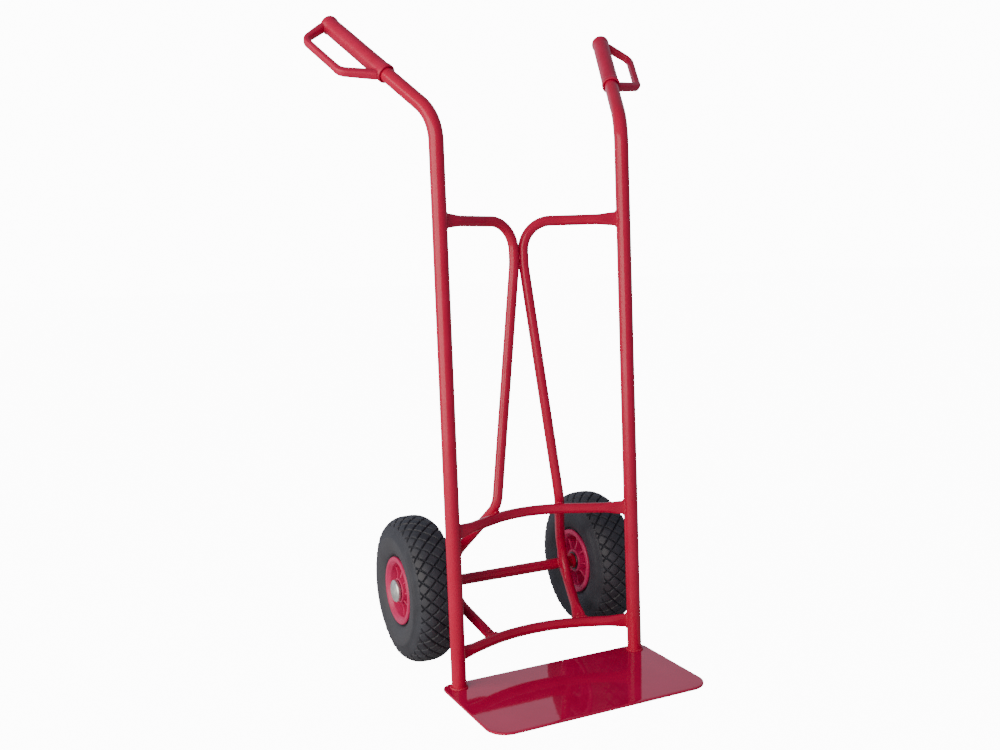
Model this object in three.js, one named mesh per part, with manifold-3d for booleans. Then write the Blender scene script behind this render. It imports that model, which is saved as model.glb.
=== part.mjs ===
// Hand truck: tubular steel frame, toe plate, two pneumatic wheels and two guarded grips.
// Millimetres, +Z up, +Y towards the operator, +X to the operator's left.
// The origin is on the floor, midway between the side tubes.

import * as THREE from 'three';
import { mergeVertices } from 'three/addons/utils/BufferGeometryUtils.js';
import Module from 'manifold-3d';

const wasm = await Module();
wasm.setup();

// ---------- driving sizes ----------

const GAP = 0.3; // left between two pieces that touch
const LEAN = THREE.MathUtils.degToRad(1); // the frame leans back from the plate

const plate = { width: 398, front: 195, back: 20, thick: 4, frontCorner: 35, backCorner: 18 };

const sideTube = { radius: 12.5, wall: 1.8, halfSpacing: 173, sides: 16 };
const handle = { bendHeight: 942, bendRadius: 80, tilt: 53.7, splay: 23.6, length: 300 };

const rail = { radius: 9, wall: 1.5, sides: 10, endTall: 12, endThin: 3.6, endLength: 40 };
const upperBar = { height: 266, angle: 28.4, bendRadius: 153, behind: 3 };
const lowerBar = { height: 57, angle: 23.5, bendRadius: 261, behind: 8 };

const brace = {
  topHeight: 777,
  shoulder: { x: 72, back: 49.3, radius: 80 },
  neck: { x: 9.2, back: 67, radius: 50, splitHeight: 703, splitRadius: 150 },
  behind: 3,
  knee: { x: 61.8, back: 62.1, height: 285.4, radius: 45 },
  heel: { x: 132.6, y: 198.2, height: 133.5, radius: 69 },
  foot: { x: 86.3, wide: 12, thin: 3.6 },
};

const axle = { radius: 10, y: 170, pastWheel: 41.5 };
const collar = { radius: 14.5, width: 6 };
const washer = { radius: 17, thick: 1.6 };

const wheel = { x: 179.5, radius: 130, halfWidth: 42.2 };

// The tread is a lattice of diamond blocks. Rows lie 13 mm apart along the tread's line,
// each turned half a block from the next, and the line drops 6 mm where it is 27 mm from the middle.
const tread = { around: 34, row: 13, rows: 3, depth: 3.2, blockShare: 0.83, edge: 40.5,
  drop: 6, dropAt: 27, lineEnd: 40 };

// half sections of the wheel's pieces, as [distance from the wheel's middle, radius]
const tyreShape = {
  outside: [
    [37.4, 112], [39.6, 104.5], [wheel.halfWidth, 93], [40.6, 79], [34.6, 64.5], [31, 62.3], [29.6, 50.8],
  ],
  inside: [[21, 50.8], [24, 62], [34, 78], [36, 95], [28, 114], [14, 121.2]],
};
const tubeShape = {
  wall: 2,
  crown: 120,
  belly: [[27, 112.5], [34.6, 95], [32.4, 79]],
  foot: [17, 58],
  floor: 53,
};
const rim = {
  web: 5,
  dish: [[5, 42], [22, 45.5], [31.5, 47.5], [35.4, 52.6]],
  lip: [[37.5, 56.6], [35.9, 60.2], [32.6, 60.6], [30.4, 50]],
  barrel: [[20, 50], [10, 46.4]],
};

const hub = { half: 34, bore: 16.8, radius: 22 };
const sleeve = { radius: 16.5, wall: 1.5 };
const bearing = { radius: 14.5, bore: 10.5, width: 24, rollers: 8, groove: 1 };
const bolt = { circle: 33, count: 4, shank: 3, head: 5.6, headTall: 3.6, nutTall: 4.6, pastNut: 1.5 };
const rib = { count: 8, thick: 3.6, rootAcross: 4, tipRadius: 46, tipAcross: 26, lift: 3 };
const valve = { radius: 3.8, bore: 1.6, tip: 2.6, tipLength: 5, hole: 4.6, from: 34, to: 54, offset: 12.5 };
const cap = { radius: 19.8, wall: 1.2, from: 36.2, skirt: 3, dome: 46.3, crownRadius: 11, shoulder: 2.4 };

const grip = { radius: 15, bore: 13, boreDepth: 173, from: 132, length: 182, flare: 16.6 };
const gripEnds = { collar: 9, step: 4, flareFrom: 156, flareTo: 168, domeFrom: 175, dome: 7, domeRound: 5 };
const guard = { reach: 62, thick: 11, wide: 14, edge: 2.6, drop: 25,
  root: 8, near: 45, far: 153, tip: 171, corner: 17 };

// ---------- materials ----------

const finish = (color, roughness, metalness) =>
  new THREE.MeshStandardMaterial({ color, roughness, metalness });

const redPaint = finish(0xb5122f, 0.22, 0.1);
const redPlastic = finish(0xc01c3c, 0.42, 0);
const rubber = finish(0x2e3135, 0.8, 0);
const tubeRubber = finish(0x1d1e20, 0.6, 0);
const zinc = finish(0xc9cfcb, 0.28, 1);
const steel = finish(0x9a9da0, 0.35, 1);
const brass = finish(0xb08d4a, 0.35, 1);
const nylon = finish(0xe4e0d2, 0.5, 0);

// ---------- small helpers ----------

const vec = (x, y, z) => new THREE.Vector3(x, y, z);
const leanBack = (height, behind) => height * Math.tan(LEAN) + behind;

// a regular ring of points, for sections
function ring(radius, sides) {
  const points = [];
  for (let i = 0; i < sides; i++) {
    const a = (2 * Math.PI * (i + 0.5)) / sides;
    points.push(new THREE.Vector2(radius * Math.cos(a), radius * Math.sin(a)));
  }
  return points;
}

// joins and cuts work on closed meshes whose shared vertices are merged
function toSolid(geometry) {
  const bare = geometry.clone();
  bare.deleteAttribute('normal');
  bare.deleteAttribute('uv');
  const merged = mergeVertices(bare, 1e-4);
  return new wasm.Manifold(new wasm.Mesh({
    numProp: 3,
    vertProperties: new Float32Array(merged.attributes.position.array),
    triVerts: new Uint32Array(merged.index.array),
  }));
}

function toGeometry(solid) {
  const mesh = solid.getMesh();
  const geometry = new THREE.BufferGeometry();
  geometry.setAttribute('position', new THREE.BufferAttribute(mesh.vertProperties, 3));
  geometry.setIndex(new THREE.BufferAttribute(mesh.triVerts, 1));
  return geometry;
}

// the same shape on the other side of the truck, with its faces still pointing out
function mirrored(geometry) {
  const copy = geometry.index ? geometry.toNonIndexed() : geometry.clone();
  const p = copy.attributes.position;
  for (let i = 0; i < p.count; i++) {
    p.setX(i, -p.getX(i));
  }
  for (let i = 0; i < p.count; i += 3) {
    const second = vec(p.getX(i + 1), p.getY(i + 1), p.getZ(i + 1));
    p.setXYZ(i + 1, p.getX(i + 2), p.getY(i + 2), p.getZ(i + 2));
    p.setXYZ(i + 2, second.x, second.y, second.z);
  }
  return copy;
}

// ---------- bent tubes ----------

// A path through given points, one ring at each point, so straight runs cost nothing.
class BentPath extends THREE.Curve {
  constructor(points) {
    super();
    this.points = points;
  }

  getPointAt(u) {
    const last = this.points.length - 1;
    return this.points[Math.round(u * last)].clone();
  }

  getTangentAt(u) {
    const last = this.points.length - 1;
    const i = Math.round(u * last);
    const tangent = vec(0, 0, 0);
    if (i > 0) tangent.add(this.points[i].clone().sub(this.points[i - 1]).normalize());
    if (i < last) tangent.add(this.points[i + 1].clone().sub(this.points[i]).normalize());
    return tangent.normalize();
  }
}

// corners are { at, radius }; each inner corner becomes an arc of that radius
function bend(corners, step = 12) {
  const points = [corners[0].at.clone()];
  for (let i = 1; i < corners.length - 1; i++) {
    const { at, radius } = corners[i];
    const into = at.clone().sub(corners[i - 1].at).normalize();
    const out = corners[i + 1].at.clone().sub(at).normalize();
    const turn = into.angleTo(out);
    const side = out.clone().addScaledVector(into, -out.dot(into)).normalize();
    const start = at.clone().addScaledVector(into, -radius * Math.tan(turn / 2));
    const steps = Math.max(2, Math.ceil(THREE.MathUtils.radToDeg(turn) / step));
    for (let k = 0; k <= steps; k++) {
      const a = (turn * k) / steps;
      points.push(start.clone()
        .addScaledVector(into, radius * Math.sin(a))
        .addScaledVector(side, radius * (1 - Math.cos(a))));
    }
  }
  points.push(corners[corners.length - 1].at.clone());
  return points;
}

// extra rings near an end, where the tube is pressed flat
function withEndRings(points, length, steps = 4) {
  const towards = points[1].clone().sub(points[0]).normalize();
  const extra = [];
  for (let k = 1; k <= steps; k++) {
    extra.push(points[0].clone().addScaledVector(towards, (length * k) / steps));
  }
  return [points[0], ...extra, ...points.slice(1)];
}

function sweep(points, outline, hole) {
  const shape = new THREE.Shape(outline);
  if (hole) shape.holes.push(new THREE.Path(hole));
  return new THREE.ExtrudeGeometry(shape, {
    steps: points.length - 1,
    extrudePath: new BentPath(points),
    bevelEnabled: false,
  });
}

function tube(points, { radius, wall, sides }) {
  const inner = Math.round(sides * 0.6);
  return sweep(points, ring(radius, sides), ring(radius - wall, inner));
}

// Press the end of a tube flat: wide along one direction, thin across it.
// The wall keeps its thickness, so the bore closes to a slot.
function flattenEnd(geometry, points, section, { wide, thin, length, wideAlong }) {
  const axis = points[1].clone().sub(points[0]).normalize();
  const across = wideAlong.clone().addScaledVector(axis, -wideAlong.dot(axis)).normalize();
  const thinAlong = axis.clone().cross(across);
  const p = geometry.attributes.position;
  for (let i = 0; i < p.count; i++) {
    const off = vec(p.getX(i), p.getY(i), p.getZ(i)).sub(points[0]);
    const along = off.dot(axis);
    if (off.length() > length + 2 * section.radius || along > length) continue;
    const amount = 1 - THREE.MathUtils.smoothstep(Math.max(along, 0), 0, length);
    const w = off.dot(across);
    const t = off.dot(thinAlong);
    const inset = section.radius - Math.hypot(w, t) > section.wall / 2 ? section.wall : 0;
    const round = section.radius - inset;
    const wScale = 1 + amount * ((wide - inset) / round - 1);
    const tScale = 1 + amount * ((thin - inset) / round - 1);
    const moved = points[0].clone()
      .addScaledVector(axis, along)
      .addScaledVector(across, w * wScale)
      .addScaledVector(thinAlong, t * tScale);
    p.setXYZ(i, moved.x, moved.y, moved.z);
  }
}

// Slide the end ring along the tube until it lies in a plane, as a saw cut leaves it.
function cutEnd(geometry, points, normal) {
  const axis = points[1].clone().sub(points[0]).normalize();
  const p = geometry.attributes.position;
  for (let i = 0; i < p.count; i++) {
    const at = vec(p.getX(i), p.getY(i), p.getZ(i));
    if (Math.abs(at.clone().sub(points[0]).dot(axis)) > 0.05) continue;
    if (at.distanceTo(points[0]) > 40) continue;
    const slide = points[0].clone().sub(at).dot(normal) / axis.dot(normal);
    at.addScaledVector(axis, slide);
    p.setXYZ(i, at.x, at.y, at.z);
  }
}

// ---------- turned parts ----------

// profile points are [distance along X, radius]; the part turns about X
// and its profile starts and ends on the axis, or is closed here
function turned(profile, segments, start = 0) {
  const points = profile.map(([along, radius]) => new THREE.Vector2(radius, along));
  if (THREE.ShapeUtils.area(points) < 0) points.reverse();
  if (points[0].x > 0) points.push(points[0].clone());
  const geometry = new THREE.LatheGeometry(points, segments, start);
  return geometry.rotateZ(-Math.PI / 2);
}

function rod(from, to, radius, segments) {
  return turned([[from, 0], [from, radius], [to, radius], [to, 0]], segments);
}

const atWheel = (geometry) => geometry.translate(wheel.x, axle.y, wheel.radius);

// ---------- frame ----------

function makeToePlate() {
  const half = plate.width / 2;
  const { front, back, frontCorner: f, backCorner: b } = plate;
  const outline = new THREE.Shape();
  outline.moveTo(-half + f, -front);
  outline.lineTo(half - f, -front);
  outline.absarc(half - f, -front + f, f, -Math.PI / 2, 0);
  outline.lineTo(half, back - b);
  outline.absarc(half - b, back - b, b, 0, Math.PI / 2);
  outline.lineTo(-half + b, back);
  outline.absarc(-half + b, back - b, b, Math.PI / 2, Math.PI);
  outline.lineTo(-half, -front + f);
  outline.absarc(-half + f, -front + f, f, Math.PI, 1.5 * Math.PI);
  return new THREE.ExtrudeGeometry(outline, { depth: plate.thick, bevelEnabled: false, curveSegments: 6 });
}

// the grip's own axes: along the handle, out towards the guard, and across both
function handleAxes() {
  const tilt = THREE.MathUtils.degToRad(handle.tilt);
  const splay = THREE.MathUtils.degToRad(handle.splay);
  const drop = THREE.MathUtils.degToRad(guard.drop);
  const along = vec(
    Math.sin(tilt) * Math.sin(splay),
    Math.sin(tilt) * Math.cos(splay),
    Math.cos(tilt),
  );
  const level = vec(Math.cos(splay), -Math.sin(splay), 0);
  const under = along.clone().cross(level);
  if (under.z > 0) under.negate();
  const out = level.multiplyScalar(Math.cos(drop)).addScaledVector(under, Math.sin(drop));
  return { along, out, across: out.clone().cross(along) };
}

const bendPoint = vec(sideTube.halfSpacing, leanBack(handle.bendHeight, 0), handle.bendHeight);

function makeSideTube() {
  const foot = plate.thick + GAP;
  const end = bendPoint.clone().addScaledVector(handleAxes().along, handle.length);
  const points = bend([
    { at: vec(sideTube.halfSpacing, leanBack(foot, 0), foot) },
    { at: bendPoint, radius: handle.bendRadius },
    { at: end },
  ], 8);
  const geometry = tube(points, sideTube);
  cutEnd(geometry, points, vec(0, 0, 1));
  return geometry;
}

// Where a bar or a brace lands on a side tube, a little behind the tube's middle.
// facing is the way the tube's surface looks there.
function landing(height, behind) {
  const reach = sideTube.radius + GAP;
  const turn = Math.asin(behind / reach);
  const facing = vec(-Math.cos(turn), Math.sin(turn), 0);
  const at = vec(sideTube.halfSpacing, leanBack(height, 0), height).addScaledVector(facing, reach);
  return { at, facing };
}

// a crossbar bows back between the side tubes, so that round loads sit in it
function crossbarPath({ height, angle, bendRadius, behind }) {
  const end = landing(height, behind).at;
  const peak = end.x * Math.tan(THREE.MathUtils.degToRad(angle));
  return bend([
    { at: end },
    { at: vec(0, end.y + peak, height), radius: bendRadius },
    { at: vec(-end.x, end.y, height) },
  ], 8);
}

function makeCrossbar(bar) {
  const half = withEndRings(crossbarPath(bar), rail.endLength);
  const points = withEndRings(half.reverse(), rail.endLength);
  const geometry = tube(points, rail);
  for (const ends of [points, [...points].reverse()]) {
    flattenEnd(geometry, ends, rail, {
      wide: rail.endTall, thin: rail.endThin, length: rail.endLength, wideAlong: vec(0, 0, 1),
    });
    const { facing } = landing(bar.height, bar.behind);
    cutEnd(geometry, ends, vec(Math.sign(ends[0].x) * facing.x, facing.y, 0));
  }
  return geometry;
}

// where a brace that comes from a given point meets the lower bar, square to the bar
function footStand(from) {
  const bar = crossbarPath(lowerBar);
  const i = bar.findIndex((point) => point.x < brace.foot.x);
  const share = (bar[i - 1].x - brace.foot.x) / (bar[i - 1].x - bar[i].x);
  const middle = bar[i - 1].clone().lerp(bar[i], share);
  const run = bar[i].clone().sub(bar[i - 1]).normalize();
  const facing = from.clone().sub(middle);
  facing.addScaledVector(run, -facing.dot(run)).normalize();
  const slope = from.clone().sub(middle).normalize();
  const at = middle.addScaledVector(slope, (rail.radius + GAP) / slope.dot(facing));
  return { at, facing };
}

// From a side tube a brace runs in to the middle, turns down beside its twin,
// spreads behind the upper bar, swings back to the axle and forward again to the lower bar.
function bracePath() {
  const { topHeight, shoulder, neck, knee, heel } = brace;
  const back = vec(heel.x, heel.y, heel.height);
  const stand = footStand(back);
  return bend([
    { at: landing(topHeight, brace.behind).at },
    { at: vec(shoulder.x, leanBack(topHeight, shoulder.back), topHeight), radius: shoulder.radius },
    { at: vec(neck.x, leanBack(topHeight, neck.back), topHeight), radius: neck.radius },
    { at: vec(neck.x, leanBack(neck.splitHeight, neck.back), neck.splitHeight), radius: neck.splitRadius },
    { at: vec(knee.x, leanBack(knee.height, knee.back), knee.height), radius: knee.radius },
    { at: back, radius: heel.radius },
    { at: stand.at },
  ], 18);
}

function makeBrace() {
  const path = withEndRings(bracePath().reverse(), rail.endLength).reverse();
  const points = withEndRings(path, rail.endLength);
  const geometry = tube(points, rail);
  flattenEnd(geometry, points, rail, {
    wide: rail.endTall, thin: rail.endThin, length: rail.endLength, wideAlong: vec(0, 0, 1),
  });
  cutEnd(geometry, points, landing(brace.topHeight, brace.behind).facing);
  const fromFoot = [...points].reverse();
  const { wide, thin } = brace.foot;
  flattenEnd(geometry, fromFoot, rail, {
    wide, thin, length: rail.endLength, wideAlong: vec(1, 0, 0),
  });
  const { heel } = brace;
  cutEnd(geometry, fromFoot, footStand(vec(heel.x, heel.y, heel.height)).facing);
  return geometry;
}

// ---------- grips ----------

function makeGrip() {
  const { radius, flare, length, bore, boreDepth, from } = grip;
  const { collar, step, flareFrom, flareTo, domeFrom, dome, domeRound } = gripEnds;
  const into = bore + 0.5; // the guard's ends are buried in the wall of the grip
  const body = turned([
    [0, 0], [0, flare], [collar, flare], [collar + step, radius],
    [flareFrom, radius], [flareTo, flare], [domeFrom, flare],
    [length - dome / 3, flare - domeRound], [length, 0],
  ], 16);
  const half = { w: guard.wide / 2, t: guard.thick / 2, r: guard.edge };
  const section = [
    [-half.w + half.r, -half.t], [half.w - half.r, -half.t], [half.w, -half.t + half.r],
    [half.w, half.t - half.r], [half.w - half.r, half.t], [-half.w + half.r, half.t],
    [-half.w, half.t - half.r], [-half.w, -half.t + half.r],
  ].map(([x, y]) => new THREE.Vector2(x, y));
  const loop = bend([
    { at: vec(guard.root, into, 0) },
    { at: vec(guard.near, guard.reach, 0), radius: guard.corner },
    { at: vec(guard.far, guard.reach, 0), radius: guard.corner },
    { at: vec(guard.tip, into, 0) },
  ], 15);
  const bar = sweep(loop, section);
  const hole = rod(-1, boreDepth, bore, 16);
  const solid = toSolid(body).add(toSolid(bar)).subtract(toSolid(hole));
  const geometry = toGeometry(solid);
  const { along, out, across } = handleAxes();
  const base = bendPoint.clone().addScaledVector(along, from);
  const place = new THREE.Matrix4().makeBasis(along, out, across.negate()).setPosition(base);
  return geometry.applyMatrix4(place);
}

// ---------- axle ----------

function makeAxle() {
  const half = wheel.x + axle.pastWheel;
  return rod(-half, half, axle.radius, 20).translate(0, axle.y, wheel.radius);
}

const makeRing = (from, to, outer, inner, segments = 16) =>
  turned([[from, inner], [from, outer], [to, outer], [to, inner]], segments);

const makeWasher = (from) =>
  atWheel(makeRing(from, from + washer.thick, washer.radius, axle.radius + GAP));

const innerWasherFrom = -hub.half - GAP - washer.thick;

// the stop ring that keeps the wheel off the frame
const makeCollar = () => atWheel(makeRing(
  innerWasherFrom - GAP - collar.width,
  innerWasherFrom - GAP,
  collar.radius,
  axle.radius + GAP,
));

// a domed push-on cap that grips the end of the axle
function makeCap() {
  const { radius, wall, from, skirt, dome, crownRadius, shoulder } = cap;
  const hole = axle.radius + GAP;
  const bend = wall; // the crown's edge is rounded over this length
  return atWheel(turned([
    [dome - wall, 0], [dome - bend - wall, crownRadius], [from + skirt, radius - wall],
    [from + wall, radius - wall], [from + wall, hole], [from, hole], [from, radius],
    [from + skirt, radius], [dome - skirt, radius - shoulder], [dome - bend, crownRadius], [dome, 0],
  ], 18));
}

// ---------- wheels ----------

// the same profile points on the other side of the wheel's middle, in the order that closes it
const otherHalf = (points) => points.map(([along, radius]) => [-along, radius]).reverse();

// the tread's line, from the middle of the crown out over the shoulder
const treadLine = new THREE.SplineCurve(Array.from({ length: 21 }, (_, i) => {
  const across = (tread.lineEnd * i) / 20;
  return new THREE.Vector2(across, wheel.radius - tread.drop * (across / tread.dropAt) ** 3);
}));

// a point of the tread: how far it lies along the line from the middle, and how deep below it
function onTread(distance, depth) {
  const share = Math.abs(distance) / treadLine.getLength();
  const at = treadLine.getPointAt(share);
  const run = treadLine.getTangentAt(share);
  return [Math.sign(distance) * (at.x + run.y * depth), at.y - run.x * depth];
}

// A tyre with its blocks. Turns count half blocks around it, from its lowest point. The second
// side is the first one's mirror image, turned by one half block.
function makeTyre() {
  const { around, row, rows, depth, blockShare, edge } = tread;
  const corners = [];
  const place = ([along, radius], turn) => {
    const a = (Math.PI * turn) / around;
    return [along, radius * Math.sin(a), -radius * Math.cos(a)];
  };
  const fan = (points, side = 1) => {
    for (let i = 2; i < points.length; i++) {
      const face = [points[0], points[i - 1], points[i]];
      corners.push(...(side > 0 ? face : face.reverse()).flat());
    }
  };
  const half = [...tyreShape.outside, ...tyreShape.inside];
  const lastMiddle = (rows - 0.5) * row;
  // where the last grooves meet the tread's edge, in turns from a block's middle
  const groove = 1 - (edge - lastMiddle) / row;
  const blockEnd = blockShare - 1 + groove;
  const lugStart = 2 * groove - blockEnd;

  for (const side of [1, -1]) {
    const put = (distance, below, turn) => {
      const [along, radius] = onTread(distance, below);
      return place([side * along, radius], side > 0 ? turn : turn + 1);
    };
    const top = (distance, turn) => put(distance, 0, turn);
    const base = (distance, turn) => put(distance, depth, turn);
    // a block's corners are pairs of a top point and the groove's floor beside it
    const block = (pairs, closed) => {
      const tops = pairs.map(([point]) => point);
      fan([...tops.slice(1), tops[0]], side);
      pairs.forEach(([point, floor], i) => {
        if (i === pairs.length - 1 && !closed) return;
        const [nextPoint, nextFloor] = pairs[(i + 1) % pairs.length];
        fan([floor, nextFloor, nextPoint, point], side);
      });
    };
    const atEdge = (turn, grooveTurn) => [top(edge, turn), base(edge, grooveTurn)];
    for (let i = 0; i < around; i++) {
      for (let k = 0; k < rows; k++) {
        const middle = (k + 0.5) * row;
        const turn = 2 * i + (k % 2);
        const threeCorners = [
          [top(middle, turn - blockShare), base(middle, turn - 1)],
          [top(middle - row * blockShare, turn), base(middle - row, turn)],
          [top(middle, turn + blockShare), base(middle, turn + 1)],
        ];
        if (k < rows - 1) {
          block([[top(middle + row * blockShare, turn), base(middle + row, turn)], ...threeCorners], true);
        } else {
          const before = atEdge(turn - blockEnd, turn - groove);
          block([before, ...threeCorners, atEdge(turn + blockEnd, turn + groove)], false);
        }
      }
      // the lug between two cut blocks, and the step from the tread's edge down to the sidewall
      const turn = 2 * i;
      const lug = [atEdge(turn + lugStart, turn + groove), atEdge(turn + 2 - lugStart, turn + 2 - groove)];
      const tip = [top(lastMiddle + row * (1 - blockShare), turn + 1), base(lastMiddle, turn + 1)];
      block([lug[0], tip, lug[1]], false);
      const wall = (at) => place([side * half[0][0], half[0][1]], side > 0 ? at : at + 1);
      fan([
        wall(turn + 1), top(edge, turn + blockEnd), base(edge, turn + groove), lug[0][0], lug[1][0],
        base(edge, turn + 2 - groove), top(edge, turn + 2 - blockEnd), top(edge, turn + 2 + blockEnd),
        wall(turn + 3),
      ], side);
    }
  }

  // the sidewalls and the inside, each ring turned by a half block from the last
  const rings = [...half, ...otherHalf(half)];
  for (let j = 0; j < rings.length - 1; j++) {
    for (let i = 0; i < around; i++) {
      const turn = 2 * i + j + 1;
      const next = place(rings[j], turn + 2);
      const across = place(rings[j + 1], turn + 1);
      fan([place(rings[j], turn), next, across]);
      fan([next, place(rings[j + 1], turn + 3), across]);
    }
  }
  const geometry = new THREE.BufferGeometry();
  geometry.setAttribute('position', new THREE.Float32BufferAttribute(corners, 3));
  return atWheel(toGeometry(toSolid(geometry)));
}

// the valve points out from the axle through the outer rim half, in a pocket with no bolt
const valveAngle = (3 * Math.PI) / rib.count;
const atValve = (geometry) => geometry.rotateZ(Math.PI / 2).translate(valve.offset, 0, 0).rotateX(valveAngle);

function makeInnerTube() {
  const { wall, crown, belly, foot, floor } = tubeShape;
  const outline = (inset) => {
    const sides = belly.map(([across, radius]) => [across - inset, radius]);
    sides[0][1] -= inset;
    const half = [...sides, [foot[0] - inset, foot[1] + inset]];
    return [[0, crown - inset], ...half, [0, floor + inset], ...otherHalf(half)];
  };
  const hollow = toSolid(turned(outline(0), 20)).subtract(toSolid(turned(outline(wall), 20)));
  const mouth = atValve(rod(valve.to - 8, valve.to + 12, valve.radius - 1, 10));
  return atWheel(toGeometry(hollow.subtract(toSolid(mouth))));
}

function makeValve() {
  const { radius, bore, tip, tipLength, from, to } = valve;
  const stem = turned([
    [from, bore], [from, tip], [from + tipLength, tip], [from + tipLength + 1, radius], [to, radius], [to, bore],
  ], 10);
  return atWheel(atValve(stem));
}

const spread = (count, offset) => Array.from({ length: count }, (_, i) => (2 * Math.PI * i) / count + offset);
const boltAngles = spread(bolt.count, Math.PI / rib.count);

// A moulded rim half: barrel, rolled lip, web, hub boss and radial ribs, split at the wheel's middle.
function makeRimHalf(side) {
  const split = GAP / 2;
  const { half, bore, radius } = hub;
  let solid = toSolid(turned([
    [split, bore], [half, bore], [half, radius], [rim.web, radius + 2],
    ...rim.dish, ...rim.lip, ...rim.barrel, [split, rim.barrel[1][1]],
  ], 24));
  const root = radius - 1.5; // the ribs are buried this far in the boss
  for (const angle of spread(rib.count, 0)) {
    const outline = new THREE.Shape([
      new THREE.Vector2(root, rib.rootAcross), new THREE.Vector2(rib.tipRadius, rib.rootAcross),
      new THREE.Vector2(rib.tipRadius + rib.lift, rib.tipAcross), new THREE.Vector2(root, half - rib.lift),
    ]);
    const blade = new THREE.ExtrudeGeometry(outline, { depth: rib.thick, bevelEnabled: false });
    blade.translate(0, 0, -rib.thick / 2);
    // local x is the radius and local y the wheel's axis
    blade.applyMatrix4(new THREE.Matrix4().makeBasis(vec(0, 1, 0), vec(1, 0, 0), vec(0, 0, -1)));
    solid = solid.add(toSolid(blade.rotateX(angle)));
  }
  for (const angle of boltAngles) {
    const hole = rod(-1, rim.web + 1, bolt.shank + GAP, 8).translate(0, bolt.circle, 0).rotateX(angle);
    solid = solid.subtract(toSolid(hole));
  }
  if (side > 0) {
    const opening = atValve(rod(valve.from + 3, valve.to + 2, valve.hole, 12));
    solid = solid.subtract(toSolid(opening));
  }
  const geometry = toGeometry(solid);
  return atWheel(side > 0 ? geometry : mirrored(geometry));
}

const makeSleeve = () => atWheel(makeRing(-hub.half, hub.half, sleeve.radius, sleeve.radius - sleeve.wall, 24));

// a cage ring whose rollers stand out inside and outside it
function makeBearing(side) {
  const wave = (inner, outer) => {
    const points = [];
    for (const angle of spread(bearing.rollers, 0)) {
      const pitch = Math.PI / bearing.rollers;
      for (const [turn, r] of [[-0.45, outer], [0.45, outer], [0.75, inner], [1.25, inner]]) {
        const a = angle + turn * pitch;
        points.push(new THREE.Vector2(r * Math.cos(a), r * Math.sin(a)));
      }
    }
    return points;
  };
  const shape = new THREE.Shape(wave(bearing.radius - bearing.groove, bearing.radius));
  shape.holes.push(new THREE.Path(ring(bearing.bore, 16)));
  const geometry = new THREE.ExtrudeGeometry(shape, { depth: bearing.width, bevelEnabled: false });
  geometry.rotateY(Math.PI / 2);
  const from = side > 0 ? hub.half - bearing.width : -hub.half;
  return atWheel(geometry.translate(from, 0, 0));
}

// a bolt through both rim webs, with its head outside and its nut inside
const webFace = rim.web + GAP;

function makeBolt(angle) {
  const { shank, head, headTall, nutTall, pastNut, circle } = bolt;
  const end = -webFace - nutTall - pastNut;
  const top = webFace + headTall;
  const shape = turned([
    [end, 0], [end, shank], [webFace, shank], [webFace, head], [top - 1, head], [top, head - 1.4], [top, 0],
  ], 8);
  return atWheel(shape.translate(0, circle, 0).rotateX(angle));
}

function makeNut(angle) {
  const { shank, head, nutTall, circle } = bolt;
  const shape = new THREE.Shape(ring(head, 6));
  shape.holes.push(new THREE.Path(ring(shank + GAP, 8)));
  const geometry = new THREE.ExtrudeGeometry(shape, { depth: nutTall, bevelEnabled: false });
  geometry.rotateY(Math.PI / 2).translate(-webFace - nutTall, circle, 0);
  return atWheel(geometry.rotateX(angle));
}

// ---------- assembly ----------

const truck = new THREE.Group();

function addPart(name, geometry, material) {
  const mesh = new THREE.Mesh(geometry, material);
  mesh.name = name;
  truck.add(mesh);
}

// one part for each side, the second a mirror image of the first
function addPair(name, geometry, material) {
  addPart(`left_${name}`, geometry, material);
  addPart(`right_${name}`, mirrored(geometry), material);
}

addPart('toe_plate', makeToePlate(), redPaint);
addPair('side_tube', makeSideTube(), redPaint);
addPart('upper_crossbar', makeCrossbar(upperBar), redPaint);
addPart('lower_crossbar', makeCrossbar(lowerBar), redPaint);
addPair('brace', makeBrace(), redPaint);
addPair('grip', makeGrip(), redPlastic);

addPart('axle', makeAxle(), redPaint);
addPair('axle_collar', makeCollar(), redPaint);
addPair('inner_washer', makeWasher(innerWasherFrom), zinc);
addPair('outer_washer', makeWasher(hub.half + GAP), zinc);
addPair('axle_cap', makeCap(), zinc);

addPair('tyre', makeTyre(), rubber);
addPair('inner_tube', makeInnerTube(), tubeRubber);
addPair('valve_stem', makeValve(), brass);
addPair('outer_rim_half', makeRimHalf(1), redPlastic);
addPair('inner_rim_half', makeRimHalf(-1), redPlastic);
addPair('hub_sleeve', makeSleeve(), steel);
addPair('outer_roller_bearing', makeBearing(1), nylon);
addPair('inner_roller_bearing', makeBearing(-1), nylon);
boltAngles.forEach((angle, i) => {
  addPair(`rim_bolt_${i + 1}`, makeBolt(angle), zinc);
  addPair(`rim_nut_${i + 1}`, makeNut(angle), zinc);
});

export default truck;
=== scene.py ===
import math

import bpy
import numpy as np
from mathutils import Matrix, Vector


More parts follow.
